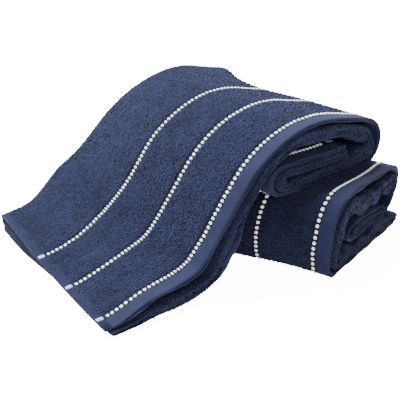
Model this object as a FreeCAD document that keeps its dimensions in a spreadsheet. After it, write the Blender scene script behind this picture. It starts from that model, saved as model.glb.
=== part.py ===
import FreeCAD, Part

import math
import os

import Sketcher
from FreeCAD import Placement, Rotation, Vector

# Two terry bath towels, one resting on the other.  Each towel is folded across its
# length into a stack of six layers: once in half, which brings its two end hems
# together, and then in three.  The stack is then bent along its width.  The lower towel
# is a flattened roll on the floor.  The upper towel starts on the floor, climbs over the
# roll and coils back under itself on top of it.
#
# Frame: X along the upper towel's width, Y across it towards its back fold, Z up.
# A stack is drawn as a band round a middle line.  Offsets are counted from that line,
# and the positive side is the good face of the cloth.

SIZES = {
    # cloth
    "cloth_thickness": 2.5,
    "stack_thickness": "=6 * cloth_thickness",
    "fold_depth": 240.0,
    "front_bulge": 4.0,
    "slot_gap": 1.0,
    "end_hem_depth": 14.5,
    "side_hem_width": 8.0,
    # dotted stripes
    "stripe_width": 5.6,
    "stripe_relief": 0.8,
    "first_stripe": 17.6,
    "stripe_spacing": 59.5,
    # lower towel: the roll's section, with the radii inside its bends, and where it lies
    "tail_run": 141.0,
    "floor_corner_inside": 0.5,
    "floor_corner_angle": 75.0,
    "side_angle": 50.0,
    "roof_corner_inside": 15.0,
    "roll_height": 80.0,
    "roof_run": 91.6,
    "roll_turn_inside": 10.0,
    "roll_return_run": 75.0,
    "roll_core_inside": 0.8,
    "roll_core_run": 70.0,
    "roll_setback": 45.08,
    "roll_corner_y": -48.0,
    "roll_angle": 16.0,
    # upper towel: from its side on the floor to its inner end
    "floor_run": 65.0,
    "rise_radius": 55.0,
    "rise_angle": 54.0,
    "crest_radius": 112.5,
    "shoulder_angle": 14.0,
    "shoulder_run": 35.0,
    "coil_turn_inside": 14.0,
    "coil_return_run": 104.0,
    "coil_core_inside": 2.0,
    "coil_core_run": 84.0,
    "bend_skew": 8.5,
    "rest_gap": 0.4,
}

doc = FreeCAD.newDocument("bath_towels")
sheet = doc.addObject("Spreadsheet::Sheet", "Sizes")
for row, (name, value) in enumerate(SIZES.items(), start=1):
    sheet.set("A%d" % row, name)
    sheet.set("B%d" % row, str(value))
    sheet.setAlias("B%d" % row, name)
doc.recompute()


def size(name):
    """The value of one named cell of the sheet."""
    return float(getattr(sheet, name))


def run(length):
    """One straight stretch of a middle line."""
    return ("run", length, 0.0)


def turn(radius, degrees):
    """One arc of a middle line: a positive angle turns left."""
    return ("turn", radius, math.radians(degrees))


def stretch_length(stretch):
    """The length of a stretch along the middle line."""
    kind, amount, angle = stretch
    return amount if kind == "run" else amount * abs(angle)


def advance(point, heading, stretch):
    """The point and heading at the end of a stretch."""
    kind, amount, angle = stretch
    if kind == "run":
        return point + Vector(math.cos(heading), math.sin(heading), 0) * amount, heading
    side = 1 if angle > 0 else -1
    centre = point + Vector(-math.sin(heading), math.cos(heading), 0) * amount * side
    heading += angle
    return centre + Vector(math.sin(heading), -math.cos(heading), 0) * amount * side, heading


def part_of_line(line, first, last):
    """The middle line cut to the stretch between two distances along it."""
    point, heading, stretches = line
    start, kept, travelled = None, [], 0.0
    for kind, amount, angle in stretches:
        length = stretch_length((kind, amount, angle))
        low = min(max(first - travelled, 0.0), length)
        high = min(max(last - travelled, 0.0), length)
        share = (high - low) / length
        if share > 1e-9:
            before = (kind, amount if kind == "turn" else low, angle * low / length)
            at = advance(point, heading, before) if low > 0 else (point, heading)
            start = start or at
            kept.append((kind, amount if kind == "turn" else high - low, angle * share))
        point, heading = advance(point, heading, (kind, amount, angle))
        travelled += length
    return start[0], start[1], kept


def line_length(line):
    """The whole length of a middle line."""
    return sum(stretch_length(stretch) for stretch in line[2])


def half(stretch):
    """Amount and angle of the first half of a stretch."""
    kind, amount, angle = stretch
    return (amount / 2, 0.0) if kind == "run" else (amount, angle / 2)


def beside(place, offset):
    """The point at an offset to the left of a place on the middle line."""
    point, heading = place
    return point + Vector(-math.sin(heading), math.cos(heading), 0) * offset


def offset_edges(line, offset):
    """Edges that run beside a middle line, offset to its left."""
    point, heading, stretches = line
    edges = []
    for stretch in stretches:
        middle = advance(point, heading, (stretch[0], *half(stretch)))
        end = advance(point, heading, stretch)
        corners = [beside(place, offset) for place in ((point, heading), middle, end)]
        if stretch[0] == "run":
            edges.append(Part.LineSegment(corners[0], corners[2]))
        else:
            edges.append(Part.Arc(*corners))
        point, heading = end
    return edges


def band_outline(line, inner, outer):
    """Closed outline of the band between two offsets of a middle line."""
    low = offset_edges(line, inner)
    high = offset_edges(line, outer)
    caps = [
        Part.LineSegment(low[-1].EndPoint, high[-1].EndPoint),
        Part.LineSegment(high[0].StartPoint, low[0].StartPoint),
    ]
    return low + high + caps


def origin_plane(body, role):
    """One of a body's own origin planes."""
    return next(item for item in body.Origin.OriginFeatures if item.Role == role)


def new_body(name, placement):
    """A named body at its place."""
    body = doc.addObject("PartDesign::Body", name)
    body.Label = name
    body.Placement = placement
    return body


def pad_band(body, name, line, offsets, start, depth, skew):
    """Pad a band of the stack: start and depth are expressions, measured towards the back."""
    sketch = body.newObject("Sketcher::SketchObject", name + "_section")
    sketch.AttachmentSupport = [(origin_plane(body, "XZ_Plane"), "")]
    sketch.MapMode = "FlatFace"
    sketch.addGeometry(band_outline(line, *offsets), False)
    sketch.setExpression("AttachmentOffset.Base.z", "-(%s)" % start)
    sketch.setExpression("AttachmentOffset.Base.x", "-(%s) * tan(%s deg)" % (start, skew))
    pad = body.newObject("PartDesign::Pad", name)
    pad.Profile = sketch
    pad.UseCustomVector = True
    pad.Direction = Vector(-math.tan(math.radians(skew)), 1, 0)
    pad.AlongSketchNormal = True
    pad.setExpression("Length", depth)
    sketch.Visibility = False
    return pad


# How far a trimming cut reaches past the stack, on every side.
BEYOND = "4 * Sizes.fold_depth"


def trim_plan(body, name, first, last):
    """Cut away everything between two X positions, given as expressions."""
    sketch = body.newObject("Sketcher::SketchObject", name + "_outline")
    sketch.AttachmentSupport = [(origin_plane(body, "XY_Plane"), "")]
    sketch.MapMode = "FlatFace"
    reach = 4 * size("fold_depth")
    corners = [Vector(-1, -1, 0), Vector(1, -1, 0), Vector(1, 1, 0), Vector(-1, 1, 0)]
    for index in range(4):
        corner, after = corners[index] * reach, corners[(index + 1) % 4] * reach
        sketch.addGeometry(Part.LineSegment(corner, after), False)
    for index in range(4):
        sketch.addConstraint(Sketcher.Constraint("Coincident", index, 2, (index + 1) % 4, 1))
    for index, kind in enumerate(("Horizontal", "Vertical", "Horizontal", "Vertical")):
        sketch.addConstraint(Sketcher.Constraint(kind, index))
    for edge, end, kind, value in (
        (0, 1, "DistanceX", first), (0, 2, "DistanceX", last),
        (0, 1, "DistanceY", "-" + BEYOND), (2, 1, "DistanceY", BEYOND),
    ):
        number = sketch.addConstraint(Sketcher.Constraint(kind, -1, 1, edge, end, reach))
        sketch.setExpression("Constraints[%d]" % number, value)
    pocket = body.newObject("PartDesign::Pocket", name)
    pocket.Profile = sketch
    pocket.Type = "ThroughAll"
    pocket.Midplane = True
    sketch.Visibility = False
    return pocket


# Offsets of the stack's layers from its middle line.  The two layers that carry the end
# hems are a pair on the good side.  A slot parts them from the other four layers, whose
# fold swells out past the hems.
FACE = size("stack_thickness") / 2
GROOVE = FACE - size("stripe_relief")
HEM_JOIN = FACE - size("cloth_thickness")
PAIR_BACK = FACE - 2 * size("cloth_thickness")
SLOT_BACK = PAIR_BACK - size("slot_gap")
STRIPE_BACK = PAIR_BACK - size("stripe_relief")
WRONG_FACE = -FACE


def stripe_edge(index, side):
    """Expression for one edge of a stripe, from the hem's outer edge: side is -1 or 1."""
    middle = "Sizes.first_stripe + %d * Sizes.stripe_spacing" % index
    return "%s + %g * Sizes.stripe_width" % (middle, side / 2)


def fold_pads(body, name, line, skew):
    """The lower four layers of the stack, and the back fold that joins them to the pair."""
    pad_band(body, name + "_fold", line, (WRONG_FACE, SLOT_BACK), "-Sizes.front_bulge",
             "Sizes.fold_depth + Sizes.front_bulge", skew)
    pad_band(body, name + "_back", line, (SLOT_BACK, PAIR_BACK),
             "Sizes.fold_depth - 2 * Sizes.cloth_thickness", "2 * Sizes.cloth_thickness", skew)


def cloth_pads(body, name, line, skew):
    """The folded cloth: its pair of layers starts behind the end hems and is grooved."""
    fold_pads(body, name, line, skew)
    hem = "Sizes.end_hem_depth"
    pad_band(body, name + "_pair", line, (PAIR_BACK, GROOVE), hem,
             "Sizes.fold_depth - %s" % hem, skew)
    edges = [hem]
    for index in range(3):
        edges += [stripe_edge(index, -1), stripe_edge(index, 1)]
    edges.append("Sizes.fold_depth")
    for index in range(0, len(edges), 2):
        first, last = edges[index], edges[index + 1]
        pad_band(body, "%s_face_%d" % (name, index // 2 + 1), line, (GROOVE, FACE), first,
                 "(%s) - (%s)" % (last, first), skew)


def side_hem_pads(body, line, skew):
    """A side hem: the same stack as the cloth beside it, without stripe grooves."""
    fold_pads(body, body.Name, line, skew)
    pad_band(body, body.Name + "_pair", line, (PAIR_BACK, FACE), "0", "Sizes.fold_depth", skew)


def build_towel(prefix, line, placement, skew):
    """Eleven pieces of one towel: cloth, two end hems, two side hems and six stripes.

    The pads of a skewed stack end aslant, so its outer side is cut square at X = 0.
    """
    whole = line_length(line)
    side = size("side_hem_width")
    inside = part_of_line(line, 0.0 if skew else side, whole - side)

    def square_off(body):
        if skew:
            trim_plan(body, body.Name + "_trim", "-" + BEYOND, "Sizes.side_hem_width")

    bodies = []
    cloth = new_body(prefix + "_terry_cloth", placement)
    cloth_pads(cloth, prefix + "_cloth", inside, skew)
    square_off(cloth)
    bodies.append(cloth)

    for letter, offsets in (("a", (HEM_JOIN, FACE)), ("b", (PAIR_BACK, HEM_JOIN))):
        hem = new_body("%s_end_hem_%s" % (prefix, letter), placement)
        pad_band(hem, hem.Name + "_pad", inside, offsets, "0", "Sizes.end_hem_depth", skew)
        square_off(hem)
        bodies.append(hem)

    outer = new_body(prefix + "_side_hem_outer", placement)
    lead = size("fold_depth") * math.tan(math.radians(skew)) + 2 * side if skew else side
    side_hem_pads(outer, part_of_line(line, 0.0, lead), skew)
    if skew:
        trim_plan(outer, outer.Name + "_trim", "-" + BEYOND, "0")
        trim_plan(outer, outer.Name + "_inner_trim", "Sizes.side_hem_width", BEYOND)
    inner = new_body(prefix + "_side_hem_inner", placement)
    side_hem_pads(inner, part_of_line(line, whole - side, whole), skew)
    bodies += [outer, inner]

    for letter, offsets in (("a", (GROOVE, FACE)), ("b", (STRIPE_BACK, PAIR_BACK))):
        for index in range(3):
            stripe = new_body("%s_dot_stripe_%s%d" % (prefix, letter, index + 1), placement)
            pad_band(stripe, stripe.Name + "_pad", inside, offsets, stripe_edge(index, -1),
                     "Sizes.stripe_width", skew)
            square_off(stripe)
            bodies.append(stripe)
    return bodies


# The roll's middle line, from its free tail on the floor to its core.  Its left side
# bulges: a tight corner at the floor, a wide arc up the side, and a corner at the roof.
# The wide arc's radius brings the roof to the roll's height.  A bend's middle radius is
# half a stack more than the radius inside it.
floor_corner = size("floor_corner_angle")
roof_corner = 180 - floor_corner - size("side_angle")
floor_corner_radius = FACE + size("floor_corner_inside")
roof_corner_radius = FACE + size("roof_corner_inside")
corner_rise = floor_corner_radius * (1 - math.cos(math.radians(floor_corner)))
corner_rise += roof_corner_radius * (1 - math.cos(math.radians(roof_corner)))
side_rise = size("roll_height") - size("stack_thickness") - corner_rise
side_reach = math.cos(math.radians(floor_corner)) + math.cos(math.radians(roof_corner))
roll_line = (
    Vector(size("tail_run"), FACE, 0),
    math.pi,
    [
        run(size("tail_run")),
        turn(floor_corner_radius, -floor_corner),
        turn(side_rise / side_reach, -size("side_angle")),
        turn(roof_corner_radius, -roof_corner),
        run(size("roof_run")),
        turn(FACE + size("roll_turn_inside"), -180),
        run(size("roll_return_run")),
        turn(FACE + size("roll_core_inside"), -180),
        run(size("roll_core_run")),
    ],
)

# The upper towel's middle line.  Its slope is as long as it takes to bring the coil's
# underside to rest just above the roll.
rise = math.radians(size("rise_angle"))
shoulder = math.radians(size("shoulder_angle"))
coil_turn_radius = FACE + size("coil_turn_inside")
coil_underside = size("roll_height") + size("rest_gap")
climb = (
    size("rise_radius") * (1 - math.cos(rise))
    + size("crest_radius") * (math.cos(shoulder) - math.cos(rise))
    - size("shoulder_run") * math.sin(shoulder)
    - coil_turn_radius * (1 + math.cos(shoulder))
)
slope_run = (coil_underside - climb) / math.sin(rise)
skew_lead = size("front_bulge") * math.tan(math.radians(size("bend_skew")))
coil_line = (
    Vector(-skew_lead, FACE, 0),
    0.0,
    [
        run(size("floor_run") + skew_lead),
        turn(size("rise_radius"), size("rise_angle")),
        run(slope_run),
        turn(size("crest_radius"), -size("rise_angle") - size("shoulder_angle")),
        run(size("shoulder_run")),
        turn(coil_turn_radius, size("shoulder_angle") - 180),
        run(size("coil_return_run")),
        turn(FACE + size("coil_core_inside"), -180),
        run(size("coil_core_run")),
    ],
)

# The roll lies aslant, so its back end comes nearest to the slope.  It is set back from
# the place where the slope's underside passes the roll's height.
foot_x = size("floor_run") + (size("rise_radius") + FACE) * math.sin(rise)
foot_z = (size("rise_radius") + FACE) * (1 - math.cos(rise))
over_roof = foot_x + (size("roll_height") - foot_z) / math.tan(rise)
aslant = math.tan(math.radians(size("roll_angle"))) - math.tan(math.radians(size("bend_skew")))
roll_place = Placement(
    Vector(over_roof + size("roll_setback") + size("fold_depth") * aslant,
           size("roll_corner_y"), 0),
    Rotation(Vector(0, 0, 1), size("roll_angle")),
)

lower = build_towel("lower", roll_line, roll_place, 0.0)
upper = build_towel("upper", coil_line, Placement(), size("bend_skew"))
doc.recompute()

# The origin is under the middle of the whole set.
bodies = lower + upper
box = Part.makeCompound([body.Shape for body in bodies]).BoundBox
shift = Vector(-box.Center.x, -box.Center.y, -box.ZMin)
for body in bodies:
    body.Placement.Base = body.Placement.Base + shift
doc.recompute()

for item in doc.Objects:
    for fault in ("Invalid", "Error"):
        if fault in item.State:
            raise RuntimeError("%s: %s" % (item.Name, item.State))
for body in bodies:
    if body.Shape.isNull() or not body.Shape.isValid():
        raise RuntimeError("bad shape: " + body.Label)

os.makedirs("parts", exist_ok=True)
for body in bodies:
    body.Shape.exportStep("parts/%s.step" % body.Label)
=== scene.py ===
import math

import bpy
import numpy as np
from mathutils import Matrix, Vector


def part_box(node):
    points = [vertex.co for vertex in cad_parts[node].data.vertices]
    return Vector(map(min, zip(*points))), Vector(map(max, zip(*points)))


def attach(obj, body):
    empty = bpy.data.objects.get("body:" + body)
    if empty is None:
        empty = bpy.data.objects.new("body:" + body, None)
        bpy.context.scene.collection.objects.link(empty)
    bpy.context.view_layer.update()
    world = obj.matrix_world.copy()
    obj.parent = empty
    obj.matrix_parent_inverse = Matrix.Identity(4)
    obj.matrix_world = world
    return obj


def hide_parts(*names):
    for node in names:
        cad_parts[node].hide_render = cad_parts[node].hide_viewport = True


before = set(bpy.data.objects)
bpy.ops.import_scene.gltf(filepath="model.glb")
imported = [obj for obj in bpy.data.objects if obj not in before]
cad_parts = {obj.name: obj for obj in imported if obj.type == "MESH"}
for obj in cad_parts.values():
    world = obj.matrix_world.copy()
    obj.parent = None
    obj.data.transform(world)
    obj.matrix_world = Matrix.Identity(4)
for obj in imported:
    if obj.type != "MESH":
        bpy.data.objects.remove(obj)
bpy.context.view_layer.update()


# ---------------------------------------------------------------- folding a towel
# A bath towel of looped terry cloth.  It is folded in half, end hem to end hem, and
# then in three like a letter, so that six layers lie on each other.  The two hemmed
# layers are on top at the front, and the folded ones swell out a little below them.

LAYER = 0.0025
FOLDED_DEPTH = 0.240
HALF_STACK = 3 * LAYER
FOLD_TABLE_STEP = 0.00025


def layer_offset(layer):
    """Height of a layer's middle above the stack's middle, counting down from 0 on top."""
    return HALF_STACK - (layer + 0.5) * LAYER


def folded_cloth():
    """The cloth's route through the stack, seen along its width.

    Six straight passes between front and back, joined by half circles whose radius is
    half the distance between the two layers they join.  Returns arrays of distance along
    the cloth, depth, offset and heading.
    """
    front, back, inner_front = 0.001, FOLDED_DEPTH - 2 * LAYER, 0.006
    passes = [(0, 0.0, back), (3, back, inner_front), (4, inner_front, back),
              (5, back, front), (2, front, back), (1, back, 0.0)]
    heading = 0.0
    depth, offset, angle = [], [], []
    for number, (layer, first, last) in enumerate(passes):
        steps = max(int(abs(last - first) / FOLD_TABLE_STEP), 2)
        depth.append(np.linspace(first, last, steps))
        offset.append(np.full(steps, layer_offset(layer)))
        angle.append(np.full(steps, heading))
        if number == len(passes) - 1:
            break
        rise = layer_offset(passes[number + 1][0]) - layer_offset(layer)
        outward = 1.0 if last > first else -1.0
        side = math.copysign(1.0, rise) * outward
        arc = np.linspace(0.0, math.pi, 40)[1:-1]
        radius = abs(rise) / 2
        depth.append(last + outward * radius * np.sin(arc))
        offset.append(layer_offset(layer) + rise / 2 * (1 - np.cos(arc)))
        angle.append(heading + side * arc)
        heading += side * math.pi
    depth, offset, angle = (np.concatenate(rows) for rows in (depth, offset, angle))
    along = np.concatenate([[0.0], np.cumsum(np.hypot(np.diff(depth), np.diff(offset)))])
    return along, depth, offset, angle


CLOTH_ROUTE = folded_cloth()
CLOTH_LENGTH = CLOTH_ROUTE[0][-1]


def in_stack(q, height):
    """Depth and offset of a point at distance q along the cloth, height above its middle.

    The point is moved off the route along its normal, which is on the good face's side.
    The third value is the offset of the route itself, which says which layer it is.
    """
    along, depth, offset, angle = CLOTH_ROUTE
    turned = np.interp(q, along, angle)
    layer = np.interp(q, along, offset)
    return (np.interp(q, along, depth) - np.sin(turned) * height,
            layer + np.cos(turned) * height, layer)


def smooth(value):
    """Eases from 0 to 1 as value goes from 0 to 1: three squares less two cubes."""
    value = np.clip(value, 0.0, 1.0)
    return value * value * (3 - 2 * value)


def ripple(seed, waves, *axes):
    """A smooth random swell from -1 to 1: the mean of several sine waves.

    Each wave has its own direction over the given axes, which are in units of the
    wavelength, and its own start.
    """
    draw = np.random.default_rng(seed)
    total = 0.0
    for _ in range(waves):
        direction = draw.normal(size=len(axes))
        direction *= draw.uniform(0.7, 1.3) / np.linalg.norm(direction)
        phase = draw.uniform(0, 2 * math.pi)
        total = total + np.sin(2 * math.pi * sum(a * d for a, d in zip(axes, direction)) + phase)
    return total / math.sqrt(waves) / 1.4


def middle_line(start, heading, stretches):
    """The stack's middle line, seen from its front edge, as distance, x, z and heading.

    Straight stretches are (length, 0) and bends are (radius, degrees), left positive.
    The heading along the line is averaged over a few millimetres, as thick cloth does,
    and the line is its running sum.
    """
    step = 0.0005
    headings = []
    for amount, degrees in stretches:
        bend = math.radians(degrees)
        length = amount * abs(bend) if degrees else amount
        steps = max(int(round(length / step)), 1)
        headings.append(heading + bend * (np.arange(steps) + 0.5) / steps)
        heading += bend
    headings = np.concatenate(headings)
    spread = np.hanning(23)
    padded = np.pad(headings, 11, mode="edge")
    headings = np.convolve(padded, spread / spread.sum(), mode="valid")
    along = np.arange(len(headings) + 1) * step
    x = start[0] + np.concatenate([[0.0], np.cumsum(np.cos(headings))]) * step
    z = start[1] + np.concatenate([[0.0], np.cumsum(np.sin(headings))]) * step
    return along, x, z, np.concatenate([headings, headings[-1:]])


# ---------------------------------------------------------------- lower towel, shape
# The lower towel lies on the floor as a flattened roll: a free tail along the floor, a
# bulging side, a flat roof that carries the other towel, and a coiled core.

ROLL_TURN = math.radians(16.0)
ROLL_TAIL = 0.141
FOOT_RADIUS, FOOT_BEND = 0.008, 75
SHOULDER_RADIUS, SHOULDER_BEND = 0.0225, 55
SIDE_BEND = 50
ROOF_RUN = 0.0916
ROOF_RADIUS = 0.0175
RETURN_RUN, CORE_RADIUS, CORE_RUN = 0.075, 0.0083, 0.070
tail_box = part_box("lower_side_hem_outer")
roll_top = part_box("lower_terry_cloth")[1][2]
roll_lift = roll_top - 2 * HALF_STACK - FOOT_RADIUS * (1 - math.cos(math.radians(FOOT_BEND)))
roll_lift -= SHOULDER_RADIUS * (1 - math.cos(math.radians(SHOULDER_BEND)))
roll_side = roll_lift / (math.cos(math.radians(FOOT_BEND))
                         + math.cos(math.radians(SHOULDER_BEND)))
roll_line = middle_line((ROLL_TAIL, HALF_STACK), math.pi, [
    (ROLL_TAIL, 0), (FOOT_RADIUS, -FOOT_BEND), (roll_side, -SIDE_BEND),
    (SHOULDER_RADIUS, -SHOULDER_BEND), (ROOF_RUN, 0), (ROOF_RADIUS, -180),
    (RETURN_RUN, 0), (CORE_RADIUS, -180), (CORE_RUN, 0),
])
# The tail's free edge reaches furthest right at its front corner, which places the roll.
TAIL_BULGE = 0.004
roll_x = tail_box[1][0] - ROLL_TAIL * math.cos(ROLL_TURN) - TAIL_BULGE * math.sin(ROLL_TURN)
roll_y = (tail_box[0][1] - (ROLL_TAIL - FOOT_RADIUS) * math.sin(ROLL_TURN)
          + TAIL_BULGE * math.cos(ROLL_TURN))
ROLL_LENGTH = roll_line[0][-1]
ROLL_RETURN = ROLL_LENGTH - CORE_RUN - CORE_RADIUS * math.pi - RETURN_RUN


def hanging(layer):
    """How far a layer hangs away from the hemmed pair: 0 for the pair, 1 for the lowest.

    The third layer takes a bit under half of it at once, and the rest is spread evenly.
    """
    return (0.45 * smooth((0.0030 - layer) / 0.0015)
            + 0.55 * np.clip((0.00125 - layer) / 0.0075, 0, 1))


def bell(value, middle, reach):
    """A bell-shaped bump of height 1."""
    return np.exp(-((value - middle) / reach) ** 2)


def front_edge(s, t, offset, layer, seed):
    """How far a point near the front edge is moved back, in metres.

    The edges of the layers are a little uneven, and the fat fold has a crease along it.
    """
    uneven = 0.0008 * ripple(seed, 5, s / 0.035, layer / 0.004)
    crease = (0.0030 + 0.0010 * ripple(seed + 1, 3, s / 0.05)) * bell(offset, -0.0025, 0.0013)
    return (uneven + crease * smooth((0.0030 - layer) / 0.0015)) * np.exp(-np.maximum(t, 0) / 0.015)


def lower_place(s, t, offset, layer):
    """Puts a point of the lower towel in space.

    s runs along the middle line, offset is square to it, t runs back along the roll's
    axis.  The roll is then turned about the vertical.  Where the other towel doesn't
    press on it, its upper half swells a little.  The lower layers hang away from the
    hemmed pair wherever the roll leaves them room.
    """
    along, line_x, line_z, heading = roll_line
    loose = 1 + 0.35 * ripple(14, 5, s / 0.03, layer / 0.004, t / 0.09)
    room = (0.008 * smooth((s - 0.006) / 0.04) * (1 - smooth((s - 0.21) / 0.04))
            + 0.015 * smooth((s - 0.21) / 0.04) * (1 - smooth((s - 0.30) / 0.05))
            + 0.005 * smooth((s - 0.30) / 0.05) * (1 - smooth((s - ROLL_RETURN) / 0.02)))
    t = t + front_edge(s, t, offset, layer, 12)
    offset = offset + 0.0005 * ripple(11, 5, s / 0.05, t / 0.09, layer / 0.006)
    offset = offset - room * loose * hanging(layer)
    turned = np.interp(s, along, heading)
    r = np.interp(s, along, line_x) - np.sin(turned) * offset
    z = np.interp(s, along, line_z) + np.cos(turned) * offset
    core = smooth((s - ROLL_RETURN + 0.02) / 0.035)
    squeeze = 0.62 - 0.25 * smooth((r - 0.03) / 0.10)
    z = z + core * (0.0245 + (z - 0.030) * squeeze - z)
    z = np.maximum(z, 0.0004 + 0.6 * np.clip(z, 0, 0.003))
    r = r - 0.024 * smooth((t - 0.005) / 0.14) * (1 - smooth((r - 0.01) / 0.11))
    x = roll_x + r * math.cos(ROLL_TURN) - t * math.sin(ROLL_TURN)
    y = roll_y + r * math.sin(ROLL_TURN) + t * math.cos(ROLL_TURN)
    free = np.maximum(upper_front - 0.003 - y, x - upper_right - 0.003)
    z = z + 0.006 * smooth(free / 0.03) * smooth(z / roll_top)
    return np.stack([x, y, z], -1)


# ---------------------------------------------------------------- upper towel, shape
# The upper towel starts flat on the floor at its side hem, climbs over the lower one, and
# coils under itself on top of it.  It lies askew, so its bends run slightly across it.

upper_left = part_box("upper_side_hem_outer")[0][0]
upper_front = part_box("upper_end_hem_a")[0][1]
upper_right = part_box("upper_end_hem_a")[1][0]
RISE_BEND = 54
RISE = math.radians(RISE_BEND)
SHOULDER = math.radians(14.0)
RISE_RADIUS, CREST_RADIUS, CREST_BEND = 0.055, 0.1125, 68
TURN_RADIUS, TURN_BEND = 0.0215, 166
SHOULDER_RUN = 0.035
REST_GAP = 0.0004
coil_floor = roll_top + REST_GAP + HALF_STACK
climb = (RISE_RADIUS * (1 - math.cos(RISE)) + CREST_RADIUS * (math.cos(SHOULDER) - math.cos(RISE))
         - SHOULDER_RUN * math.sin(SHOULDER) - TURN_RADIUS * (1 + math.cos(SHOULDER)))
slope = (coil_floor - HALF_STACK - climb) / math.sin(RISE)
coil_line = middle_line((0.0, HALF_STACK), 0.0, [
    (0.065, 0), (RISE_RADIUS, RISE_BEND), (slope, 0), (CREST_RADIUS, -CREST_BEND),
    (SHOULDER_RUN, 0), (TURN_RADIUS, -TURN_BEND), (0.104, 0), (0.0095, -180), (0.084, 0),
])
COIL_LENGTH = coil_line[0][-1]


def upper_place(s, t, offset, layer):
    """Puts a point of the upper towel in space.

    s runs along the middle line from the side hem, t runs back from the front edge.
    The bends move left as t grows, less so near the back.  The lower layers hang away
    from the hemmed pair round the foot of the slope and inside the coil.  At the foot
    the pair stands off the floor, and more so at the back.  The front corner is thin.
    """
    along, line_x, line_z, heading = coil_line
    below = hanging(layer)
    behind = smooth((t - 0.02) / 0.22)
    bow = 0.7 + 0.55 * bell(s, 0, 0.045) + 2.1 * smooth((s - 0.10) / 0.18)
    skew = 0.18 * t - bow * np.maximum(t - 0.13, 0) ** 2
    lead = np.maximum(0.18 * t - 0.9 * np.maximum(t - 0.13, 0) ** 2, 0)
    u = lead + s * (COIL_LENGTH - lead) / COIL_LENGTH
    loose = 1 + 0.35 * ripple(24, 5, s / 0.03, layer / 0.004, t / 0.09)
    coil = smooth((u - 0.26) / 0.05)
    room = (0.013 * bell(u, 0.130, 0.040)
            + (0.007 + 0.005 * smooth((u - 0.34) / 0.04)) * coil * (1 - smooth((u - 0.415) / 0.04))
            + 0.0035 * smooth((u - 0.415) / 0.04) * (1 - smooth((u - 0.50) / 0.03)))
    t = t + front_edge(s, t, offset, layer, 22)
    base = offset + HALF_STACK
    offset = offset + 0.0005 * ripple(21, 5, s / 0.05, t / 0.09, layer / 0.006)
    offset = offset - room * loose * below
    turned = np.interp(u, along, heading)
    x = upper_left + np.interp(u, along, line_x) - np.sin(turned) * offset - skew
    recess = 0.006 * bell(s, 0, 0.04) * (1 - smooth((t - 0.10) / 0.10))
    x = x + (0.006 * bell(u, 0.5475, 0.02) + recess) * below
    x = x - 0.003 * bell(s, 0, 0.05) + 0.006 * smooth((x - upper_left - 0.26) / 0.07)
    z = np.interp(u, along, line_z) + np.cos(turned) * offset
    z = z * (1 - 0.45 * bell(s, 0, 0.040) * (1 - smooth(t / 0.24)))
    stand = 0.011 * bell(s, 0.070, 0.040) * (1 - behind) + 0.023 * bell(s, 0.080, 0.045) * behind
    z = z + (stand + 0.0065 * behind * bell(s, 0, 0.05)) * (1 - 0.8 * below)
    z = np.where(s < 0.25, np.maximum(z, 0.0004 + 0.6 * base), z)
    return np.stack([x, upper_front + t, z], -1)


# ---------------------------------------------------------------- terry cloth
# The towel itself: one sheet of navy terry, looped on both faces.  It is modelled as its
# two faces, a layer's thickness apart, closed along all four edges.

SIDE_HEM = 0.008
END_HEM = 0.0145
FIRST_STRIPE = 0.0176
STRIPE_SPACING = 0.0595
STRIPE_WIDTH = 0.0056
PILE = 0.00112
GROOVE_EXTRA = 0.0012


def stripe_places():
    """Distance along the cloth of the six stripes' middles, three from each end."""
    near = [FIRST_STRIPE + number * STRIPE_SPACING for number in range(3)]
    return near + [CLOTH_LENGTH - place for place in near]


def cloth_rows():
    """Distances along the cloth of the sheet's rows.

    They are close together on the visible top layer, in the folds and near the front
    edge, and far apart where layers hide them.
    """
    fine = np.linspace(0, CLOTH_LENGTH, 4001)
    depth = in_stack(fine, 0.0)[0]
    spacing = np.full(fine.shape, 0.011)
    spacing[(depth < 0.016) | (depth > 0.226)] = 0.0030
    spacing[(depth < 0.001) | (depth > 0.2352)] = 0.0011
    spacing[fine < 0.235] = 0.0026
    count = np.concatenate([[0.0], np.cumsum(np.diff(fine) / spacing[1:])])
    rows = np.interp(np.arange(0, count[-1], 1.0), count, fine)
    inside = (rows > END_HEM) & (rows < CLOTH_LENGTH - END_HEM)
    rows = np.concatenate([[END_HEM - 0.0005], rows[inside], [CLOTH_LENGTH - END_HEM + 0.0005]])
    grooves = [place + side * STRIPE_WIDTH / 2 + edge
               for place in stripe_places()[:3] for side in (-1, 1)
               for edge in (-0.0003, 0.0003, 0.0010, 0.0014)]
    return np.unique(np.concatenate([rows, grooves]))


def mesh_object(name, points, faces, uv=None, material=None):
    """A named mesh from points, faces of three or four corners, and one UV pair a point."""
    mesh = bpy.data.meshes.new(name)
    mesh.vertices.add(len(points))
    mesh.vertices.foreach_set("co", np.ascontiguousarray(points, dtype=np.float32).ravel())
    faces = np.asarray(faces, dtype=np.int32)
    mesh.loops.add(faces.size)
    mesh.loops.foreach_set("vertex_index", faces.ravel())
    mesh.polygons.add(len(faces))
    starts = np.arange(0, faces.size, faces.shape[1], dtype=np.int32)
    mesh.polygons.foreach_set("loop_start", starts)
    mesh.polygons.foreach_set("use_smooth", np.ones(len(faces), dtype=bool))
    if uv is not None:
        layer = mesh.uv_layers.new(name="cloth")
        layer.data.foreach_set("uv", np.asarray(uv, dtype=np.float32)[faces.ravel()].ravel())
    mesh.update(calc_edges=True)
    mesh.validate()
    piece = bpy.data.objects.new(name, mesh)
    bpy.context.scene.collection.objects.link(piece)
    if material is not None:
        mesh.materials.append(material)
    return piece


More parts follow.
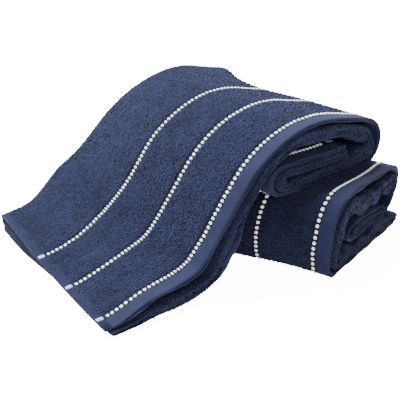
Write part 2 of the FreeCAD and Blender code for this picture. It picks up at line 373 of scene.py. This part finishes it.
def grid_faces(rows, columns, first=0, close_rows=False, close_columns=False):
    """Corners of the quads of a grid of points, with either direction closed to a ring."""
    down = np.arange(rows if close_rows else rows - 1)
    across = np.arange(columns if close_columns else columns - 1)
    down, across = np.meshgrid(down, across, indexing="ij")
    below, right = (down + 1) % rows, (across + 1) % columns
    quads = np.stack([down * columns + across, below * columns + across,
                      below * columns + right, down * columns + right], -1)
    return quads.reshape(-1, 4) + first


def edge_faces(rows, columns):
    """Quads that join two equal grids of points, one after the other, along their edges."""
    index = np.arange(rows * columns).reshape(rows, columns)
    ring = np.concatenate([index[0, :-1], index[:-1, -1], index[-1, :0:-1], index[:0:-1, 0]])
    after = np.roll(ring, -1)
    other = rows * columns
    return np.stack([ring, after, after + other, ring + other], -1)


def pile_height(s, q, seed):
    """Half the cloth's thickness: an even pile with a soft swell, pressed flat at stripes."""
    height = PILE + 0.00022 * ripple(seed, 7, s / 0.011, q / 0.011)
    for number, place in enumerate(stripe_places()):
        from_hem = (q - place) * (1 if number < 3 else -1)
        groove = (from_hem > -STRIPE_WIDTH / 2) & (from_hem < STRIPE_WIDTH / 2 + GROOVE_EXTRA)
        height = np.where(groove, PILE - 0.0010, height)
    return height


def terry_cloth(name, place, width, seed, material):
    """The sheet: its good face and its wrong face on one grid of width by length."""
    rows = cloth_rows()
    columns = np.linspace(SIDE_HEM - 0.0005, width - SIDE_HEM + 0.0005, 176)
    s, q = np.meshgrid(columns, rows)
    heights = (pile_height(s, q, seed + 1), -np.full(s.shape, PILE))
    points = [place(s, *in_stack(q, height)).reshape(-1, 3) for height in heights]
    size = s.size
    good = grid_faces(*s.shape)[:, ::-1]
    wrong = grid_faces(*s.shape) + size
    faces = np.concatenate([good, wrong, edge_faces(*s.shape)])
    uv = np.tile(np.stack([s.ravel(), q.ravel()], -1), (2, 1))
    return mesh_object(name, np.concatenate(points), faces, uv, material)


def mottled_cloth():
    """Node group: a cloth's colour and height from two sizes of noise and small loops."""
    group = bpy.data.node_groups.new("mottled cloth", "ShaderNodeTree")
    for name, kind in (("Vector", "NodeSocketVector"), ("Scale", "NodeSocketFloat"),
                       ("Dark", "NodeSocketColor"), ("Light", "NodeSocketColor")):
        group.interface.new_socket(name, in_out="INPUT", socket_type=kind)
    group.interface.new_socket("Color", in_out="OUTPUT", socket_type="NodeSocketColor")
    group.interface.new_socket("Height", in_out="OUTPUT", socket_type="NodeSocketFloat")
    tree, link = group.nodes, group.links.new
    given, out = tree.new("NodeGroupInput"), tree.new("NodeGroupOutput")
    loops = tree.new("ShaderNodeTexVoronoi")
    patches = tree.new("ShaderNodeTexNoise")
    grain = tree.new("ShaderNodeTexNoise")
    patches.inputs["Scale"].default_value = 55.0
    patches.inputs["Detail"].default_value = 4.0
    grain.inputs["Detail"].default_value = 3.0
    link(given.outputs["Vector"], loops.inputs["Vector"])
    link(given.outputs["Vector"], patches.inputs["Vector"])
    link(given.outputs["Vector"], grain.inputs["Vector"])
    link(given.outputs["Scale"], loops.inputs["Scale"])
    link(given.outputs["Scale"], grain.inputs["Scale"])
    tall = tree.new("ShaderNodeMath")
    tall.operation = "SUBTRACT"
    link(grain.outputs["Fac"], tall.inputs[0])
    link(loops.outputs["Distance"], tall.inputs[1])
    spread = tree.new("ShaderNodeMapRange")
    spread.inputs["From Min"].default_value = -0.35
    spread.inputs["From Max"].default_value = 0.45
    link(tall.outputs[0], spread.inputs["Value"])
    blend = tree.new("ShaderNodeMath")
    blend.operation = "MULTIPLY_ADD"
    blend.inputs[1].default_value = 1.3
    link(patches.outputs["Fac"], blend.inputs[0])
    half = tree.new("ShaderNodeMath")
    half.operation = "MULTIPLY"
    half.inputs[1].default_value = 0.62
    link(spread.outputs["Result"], half.inputs[0])
    lower = tree.new("ShaderNodeMath")
    lower.operation = "SUBTRACT"
    lower.inputs[1].default_value = 0.38
    link(half.outputs[0], lower.inputs[0])
    link(lower.outputs[0], blend.inputs[2])
    mix = tree.new("ShaderNodeMix")
    mix.data_type = "RGBA"
    link(blend.outputs[0], mix.inputs["Factor"])
    link(given.outputs["Dark"], mix.inputs["A"])
    link(given.outputs["Light"], mix.inputs["B"])
    link(mix.outputs["Result"], out.inputs["Color"])
    link(spread.outputs["Result"], out.inputs["Height"])
    return group


MOTTLE = mottled_cloth()


def cloth_material(name, dark, light, scale, bump, roughness, sheen, sheen_tint, coordinate):
    """A cloth: mottled colour and bump from the group, with a fixed sheen and roughness."""
    material = bpy.data.materials.new(name)
    material.use_nodes = True
    tree, link = material.node_tree.nodes, material.node_tree.links.new
    shader = tree["Principled BSDF"]
    where = tree.new("ShaderNodeTexCoord")
    mottle = tree.new("ShaderNodeGroup")
    mottle.node_tree = MOTTLE
    mottle.inputs["Scale"].default_value = scale
    mottle.inputs["Dark"].default_value = (*dark, 1)
    mottle.inputs["Light"].default_value = (*light, 1)
    raised = tree.new("ShaderNodeBump")
    raised.inputs["Strength"].default_value = 1.0
    raised.inputs["Distance"].default_value = bump
    link(where.outputs[coordinate], mottle.inputs["Vector"])
    link(mottle.outputs["Color"], shader.inputs["Base Color"])
    link(mottle.outputs["Height"], raised.inputs["Height"])
    link(raised.outputs["Normal"], shader.inputs["Normal"])
    shader.inputs["Roughness"].default_value = roughness
    shader.inputs["Specular IOR Level"].default_value = 0.15
    shader.inputs["Sheen Weight"].default_value = sheen
    shader.inputs["Sheen Roughness"].default_value = 0.45
    shader.inputs["Sheen Tint"].default_value = (*sheen_tint, 1)
    return material


navy_terry = cloth_material("navy terry", (0.0010, 0.0014, 0.0075), (0.0112, 0.0147, 0.0530), 640.0,
                            0.0016, 0.95, 0.15, (0.48, 0.57, 1.0), "Object")

lower_cloth = terry_cloth("lower_towel_terry", lower_place, ROLL_LENGTH, 31, navy_terry)
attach(lower_cloth, "lower_towel")
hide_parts("lower_terry_cloth")

upper_cloth = terry_cloth("upper_towel_terry", upper_place, COIL_LENGTH, 41, navy_terry)
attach(upper_cloth, "upper_towel")
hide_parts("upper_terry_cloth")


# ---------------------------------------------------------------- pile
# The loops of yarn that stand up from the terry ground.  Each is a short leaning tuft set
# into the cloth, on the faces and folds that can be seen.

TUFT_SPACING = 0.0023


def tufts(name, place, width, patches, seed, material):
    """Small leaning spikes with three sides on a jittered grid of each patch.

    A patch is a first and last distance along the cloth and the side it faces, 1 for the
    good face.  A spike's foot is a triangle sunk in the cloth, and its tip leans at random.
    """
    draw = np.random.default_rng(seed)
    feet = []
    for first, last, side in patches:
        columns = np.arange(SIDE_HEM, width - SIDE_HEM, TUFT_SPACING)
        rows = np.arange(first, last, TUFT_SPACING)
        s, q = (axis.ravel() for axis in np.meshgrid(columns, rows))
        s = s + draw.uniform(-0.5, 0.5, s.shape) * TUFT_SPACING
        q = q + draw.uniform(-0.5, 0.5, q.shape) * TUFT_SPACING
        clear = np.ones(s.shape, dtype=bool)
        for middle in stripe_places():
            clear &= np.abs(q - middle) > STRIPE_WIDTH / 2 + GROOVE_EXTRA
        feet.append(np.stack([s, q, np.full(s.shape, float(side))], -1)[clear])
    feet = np.concatenate(feet)
    count = len(feet)
    spin = draw.uniform(0, 2 * math.pi, count)[:, None] + np.arange(3) * 2 * math.pi / 3
    wide = draw.uniform(0.0007, 0.0012, count)[:, None]
    tall = draw.uniform(0.0008, 0.0019, count)
    lean = draw.normal(0, 0.0007, (count, 2))
    s = np.concatenate([feet[:, :1] + wide * np.cos(spin), feet[:, :1] + lean[:, :1]], 1)
    q = np.concatenate([feet[:, 1:2] + wide * np.sin(spin), feet[:, 1:2] + lean[:, 1:]], 1)
    height = np.concatenate([np.full((count, 3), 0.0), tall[:, None]], 1) + PILE - 0.0004
    points = place(s, *in_stack(q, height * feet[:, 2:])).reshape(-1, 3)
    corners = np.array([[0, 1, 3], [1, 2, 3], [2, 0, 3], [2, 1, 0]])
    base = np.arange(count)[:, None, None] * 4
    faces = np.where((feet[:, 2] > 0)[:, None, None], corners, corners[:, ::-1]) + base
    uv = np.stack([s, q], -1).reshape(-1, 2)
    return mesh_object(name, points, faces.reshape(-1, 3), uv, material)


PASS = FOLDED_DEPTH - 2 * LAYER
front_fold = CLOTH_ROUTE[0][(CLOTH_ROUTE[1] < 0.001) & (CLOTH_ROUTE[0] > PASS)
                            & (CLOTH_ROUTE[0] < 5 * PASS)]
pile_patches = [(END_HEM, 1.02 * PASS, 1), (front_fold.min() - 0.012, front_fold.max() + 0.010, 1)]
lower_pile = tufts("lower_towel_pile", lower_place, ROLL_LENGTH, pile_patches, 51, navy_terry)
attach(lower_pile, "lower_towel")

upper_pile = tufts("upper_towel_pile", upper_place, COIL_LENGTH, pile_patches, 61, navy_terry)
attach(upper_pile, "upper_towel")


# ---------------------------------------------------------------- end hems
# Each end of the cloth is woven flat, without loops, turned over and stitched down: a
# smooth band a little lighter than the pile.

HEM_HALF = 0.00118

flat_weave = cloth_material("navy flat weave", (0.0070, 0.0093, 0.031), (0.0125, 0.0165, 0.052),
                            1400.0, 0.00015, 0.80, 0.12, (0.65, 0.7, 1.0), "Object")


def rounded_band(width, half, corners=5):
    """A closed ring round a flat band: across it from 0 to width, and half up and down.

    Both long edges are half circles of the band's half thickness.
    """
    left = np.linspace(1.5 * math.pi, 0.5 * math.pi, corners)
    right = np.linspace(0.5 * math.pi, -0.5 * math.pi, corners)
    flat = np.linspace(half, width - half, 7)[1:-1]
    across = np.concatenate([half + half * np.cos(left), flat,
                             width - half + half * np.cos(right), flat[::-1]])
    up = np.concatenate([half * np.sin(left), np.full(flat.size, half),
                         half * np.sin(right), np.full(flat.size, -half)])
    return across, up


def swept_ring(name, place, s, q, height, material=None):
    """A ring of points carried along a path, closed by a flat cap at each end.

    The arrays have one row for each step of the path and one column for each ring point.
    """
    rows, columns = s.shape
    points = place(s, *in_stack(q, height)).reshape(-1, 3)
    faces = grid_faces(rows, columns, close_columns=True)
    caps = []
    for row, turned in ((0, 1), (rows - 1, -1)):
        k = np.arange(columns // 2 - 1)
        strip = np.stack([k, k + 1, columns - 2 - k, columns - 1 - k], -1) + row * columns
        caps.append(strip[:, ::turned])
    uv = np.stack([s.ravel(), q.ravel()], -1)
    return mesh_object(name, points, np.concatenate([faces] + caps), uv, material)


def end_hem(name, place, width, last_end):
    """The hem's ring carried along the towel's width, at either end of the cloth."""
    across, up = rounded_band(END_HEM, HEM_HALF)
    steps = np.arange(SIDE_HEM - 0.001, width - SIDE_HEM + 0.001, 0.0025)
    s, q = np.meshgrid(steps, across, indexing="ij")
    height = np.broadcast_to(up, s.shape) + 0.00012 * ripple(71, 5, s / 0.02, q / 0.02)
    q = CLOTH_LENGTH - q if last_end else q
    piece = swept_ring(name, place, s, q, height, flat_weave)
    if last_end:
        piece.data.flip_normals()
    return piece


trims = {"lower": [], "upper": []}
towels = {
    "lower": (lower_place, ROLL_LENGTH, "lower_towel"),
    "upper": (upper_place, COIL_LENGTH, "upper_towel"),
}
for towel, (place, width, body) in towels.items():
    for letter, last_end in (("a", False), ("b", True)):
        hem = end_hem("%s_towel_end_hem_%s" % (towel, letter), place, width, last_end)
        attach(hem, body)
        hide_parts("%s_end_hem_%s" % (towel, letter))
        trims[towel].append(hem)


# ---------------------------------------------------------------- side hems
# The long sides are narrow turned hems, running through all six layers and round every
# fold from one end hem to the other.


hem_weave = cloth_material("dark side hem", (0.0042, 0.0058, 0.021), (0.0105, 0.0140, 0.046), 900.0,
                           0.0004, 0.9, 0.12, (0.60, 0.66, 1.0), "Object")


def side_hem(name, place, width, inner):
    """The narrow ring carried along the whole cloth, at either side of the towel."""
    across, up = rounded_band(SIDE_HEM, HEM_HALF * 1.04, corners=4)
    fine = cloth_rows()
    steps = np.concatenate([[0.0003], fine[1:-1], [CLOTH_LENGTH - 0.0003]])
    q, s = np.meshgrid(steps, across, indexing="ij")
    height = np.broadcast_to(up, s.shape)
    s = width - s if inner else s
    piece = swept_ring(name, place, s, q, height, hem_weave)
    if not inner:
        piece.data.flip_normals()
    return piece


for towel, (place, width, body) in towels.items():
    for side, inner in (("outer", False), ("inner", True)):
        hem = side_hem("%s_towel_side_hem_%s" % (towel, side), place, width, inner)
        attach(hem, body)
        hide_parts("%s_side_hem_%s" % (towel, side))
        trims[towel].append(hem)


# ---------------------------------------------------------------- dotted stripes
# Each stripe is woven in: a narrow flat band in the pile, crossed by thick white yarn
# that shows as a row of raised dots.  At the side hem the yarn is packed into a solid tab.

DOT_PITCH = 0.0048
DOT_SIZE = (0.00162, 0.0019, 0.0015)
# Where the coil's outer bend squeezes the layers, the hidden end's dots are pressed in.
COIL_BEND = 0.381
BEND_SQUEEZE = 0.0020
dark_ground = cloth_material("dark stripe ground", (0.004, 0.005, 0.014), (0.012, 0.015, 0.036),
                             1400.0, 0.00015, 0.9, 0.05, (0.65, 0.72, 1.0), "Object")
white_yarn = cloth_material("white yarn", (0.92, 0.93, 0.97), (1.00, 1.00, 1.00), 1800.0,
                            0.0003, 0.8, 0.2, (1.0, 1.0, 1.0), "Object")
# The white yarn glows a little: painted light, an emission that makes the dots brighter than the
# lamps light them, in shade too.
yarn_painted_glow = white_yarn.node_tree.nodes["Principled BSDF"].inputs
yarn_painted_glow["Emission Color"].default_value = (0.92, 0.95, 1.0, 1)
yarn_painted_glow["Emission Strength"].default_value = 0.25
grey_yarn = cloth_material("pale grey yarn", (0.27, 0.33, 0.45), (0.44, 0.52, 0.66), 1800.0,
                           0.0003, 0.8, 0.2, (1.0, 1.0, 1.0), "Object")


def flat_dome(around, rings, squareness):
    """Points and faces of a closed low dome: rings of a quarter circle over a flat foot.

    The plan is |a|^n + |b|^n = 1 with squareness n: 2 is round, more is squarer.
    """
    turn = np.arange(around) * 2 * math.pi / around
    lift = np.linspace(0, math.pi / 2, rings + 1)[:-1]
    edge = np.stack([np.cos(turn), np.sin(turn)])
    edge = edge / (np.abs(edge) ** squareness).sum(0) ** (1 / squareness)
    a = (np.cos(lift)[:, None] ** (2 / squareness) * edge[0]).ravel()
    b = (np.cos(lift)[:, None] ** (2 / squareness) * edge[1]).ravel()
    c = np.repeat(np.sin(lift), around)
    shell = np.stack([np.append(a, [0, 0]), np.append(b, [0, 0]), np.append(c, [1, -0.2])], -1)
    quads = grid_faces(rings, around, close_columns=True)
    faces = np.concatenate([quads[:, [0, 3, 2]], quads[:, [0, 2, 1]]])
    last, top, foot = (rings - 1) * around, rings * around, rings * around + 1
    ring = np.arange(around)
    after = (ring + 1) % around
    crown = np.stack([last + ring, last + after, np.full(around, top)], -1)
    floor_fan = np.stack([after, ring, np.full(around, foot)], -1)
    return shell, np.concatenate([faces, crown, floor_fan])


def domes(name, place, s, q, foot, size, material, squareness=2.4):
    """One low dome at each place: size is its half width, half length and height.

    s, q and foot are arrays of places in the cloth's own directions.
    """
    shell, faces = flat_dome(8 if squareness < 3 else 24, 3, squareness)
    around_s = s[:, None] + size[0] * shell[:, 0]
    around_q = q[:, None] + size[1] * shell[:, 1]
    height = foot[:, None] + size[2] * shell[:, 2]
    points = place(around_s, *in_stack(around_q, height)).reshape(-1, 3)
    base = np.arange(len(s))[:, None, None] * len(shell)
    uv = np.stack([around_s.ravel(), around_q.ravel()], -1)
    return mesh_object(name, points, (faces + base).reshape(-1, 3), uv, material)


def stripe_band(name, place, width, middle):
    """The stripe's flat ground: a thin ring carried along the towel's width."""
    across, up = rounded_band(STRIPE_WIDTH, 0.0003, corners=3)
    steps = np.arange(0.002, width - 0.002, 0.003)
    s, q = np.meshgrid(steps, across, indexing="ij")
    height = np.broadcast_to(up, s.shape) + PILE - 0.0005
    return swept_ring(name, place, s, q + middle - STRIPE_WIDTH / 2, height, dark_ground)


for towel, (place, width, body) in towels.items():
    for number, middle in enumerate(stripe_places()):
        label = "%s%d" % ("ab"[number // 3], number % 3 + 1)
        draw = np.random.default_rng(80 + number)
        band = stripe_band("%s_towel_stripe_%s" % (towel, label), place, width, middle)
        s = np.arange(SIDE_HEM + 0.004, width - SIDE_HEM - 0.004, DOT_PITCH)
        s = s + draw.normal(0, 0.00012, s.shape)
        toward_hem = -0.0005 if number < 3 else 0.0005
        q = middle + toward_hem + draw.normal(0, 0.00012, s.shape)
        foot = np.full(s.shape, PILE - 0.0004)
        if towel == "upper" and number >= 3:
            foot = foot - BEND_SQUEEZE * bell(s, COIL_BEND, 0.012)
        dots = domes("%s_towel_dots_%s" % (towel, label), place, s, q, foot, DOT_SIZE, white_yarn)
        ends = np.array([0.0042, width - 0.0042])
        tabs = domes("%s_towel_tabs_%s" % (towel, label), place, ends, np.full(2, middle),
                     np.full(2, PILE - 0.0001), (0.0035, 0.0024, 0.0008), grey_yarn, 8.0)
        for piece in (band, dots, tabs):
            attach(piece, body)
            trims[towel].append(piece)
        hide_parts("%s_dot_stripe_%s" % (towel, label))


# ---------------------------------------------------------------- hem stitching
# A lockstitch in navy thread holds each end hem down, close to its inner edge.

STITCH = 0.0032
for towel, (place, width, body) in towels.items():
    s = np.arange(SIDE_HEM, width - SIDE_HEM, STITCH)
    seam = domes("%s_towel_hem_stitches" % towel, place, s, np.full(s.shape, END_HEM - 0.0022),
                 np.full(s.shape, HEM_HALF - 0.0001), (0.0012, 0.00028, 0.0003), flat_weave)
    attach(seam, body)
    trims[towel].append(seam)


# ---------------------------------------------------------------- studio
# A pale floor that runs to the horizon, a large soft lamp above and behind, a weak fill
# from the front on the left, and a white room that is brighter to the camera.

ROOM_LIGHT = 0.68
SEEN_GLOW = 14.0

floor_material = bpy.data.materials.new("pale floor")
floor_material.use_nodes = True
floor_shader = floor_material.node_tree.nodes["Principled BSDF"]
floor_shader.inputs["Base Color"].default_value = (0.93, 0.93, 0.93, 1)
floor_shader.inputs["Roughness"].default_value = 0.9
floor_shader.inputs["Emission Color"].default_value = (1, 1, 1, 1)
light_path = floor_material.node_tree.nodes.new("ShaderNodeLightPath")
glow = floor_material.node_tree.nodes.new("ShaderNodeMath")
glow.operation = "MULTIPLY"
glow.inputs[1].default_value = SEEN_GLOW
link_floor = floor_material.node_tree.links.new
link_floor(light_path.outputs["Is Camera Ray"], glow.inputs[0])
link_floor(glow.outputs[0], floor_shader.inputs["Emission Strength"])
half_floor = 6.0
corners = np.array([[-1, -1, 0], [1, -1, 0], [1, 1, 0], [-1, 1, 0]]) * half_floor
floor = mesh_object("floor", corners, [[0, 1, 2, 3]], None, floor_material)

world = bpy.data.worlds.new("white room")
bpy.context.scene.world = world
world.use_nodes = True
sky = world.node_tree.nodes["Background"]
sky.inputs["Color"].default_value = (1, 1, 1, 1)
seen = world.node_tree.nodes.new("ShaderNodeLightPath")
bright = world.node_tree.nodes.new("ShaderNodeMath")
bright.operation = "MULTIPLY_ADD"
bright.inputs[1].default_value = SEEN_GLOW
bright.inputs[2].default_value = ROOM_LIGHT
world.node_tree.links.new(seen.outputs["Is Camera Ray"], bright.inputs[0])
world.node_tree.links.new(bright.outputs[0], sky.inputs["Strength"])


def soft_lamp(name, spot, target, size, power):
    """A square area lamp at a spot, facing a target."""
    lamp = bpy.data.lights.new(name, "AREA")
    lamp.size = size
    lamp.energy = power
    holder = bpy.data.objects.new(name, lamp)
    bpy.context.scene.collection.objects.link(holder)
    holder.location = spot
    spot, target = np.array(spot), np.array(target)
    away = (spot - target) / np.linalg.norm(spot - target)
    holder.rotation_euler = (math.acos(away[2]), 0, math.atan2(away[1], away[0]) + math.pi / 2)
    return holder


soft_lamp("key lamp", (-0.08, 0.75, 1.75), (0, 0, 0.08), 0.9, 142)
soft_lamp("fill lamp", (-1.0, -1.5, 1.1), (0, 0, 0.08), 1.2, 15)

# The camera stands in front and to the left, looking down at the set.
VIEW_AZIMUTH = math.radians(-36.18)
VIEW_ELEVATION = math.radians(26.8)
LENS_FOR_FRAME = 65.2
camera_data = bpy.data.cameras.new("camera")
camera_data.sensor_width = 36.0
camera_data.lens = LENS_FOR_FRAME
camera = bpy.data.objects.new("camera", camera_data)
bpy.context.scene.collection.objects.link(camera)
camera.location = (-0.4252, -0.5581, 0.3984)
camera.rotation_euler = (math.pi / 2 - VIEW_ELEVATION, 0, VIEW_AZIMUTH)
bpy.context.scene.camera = camera
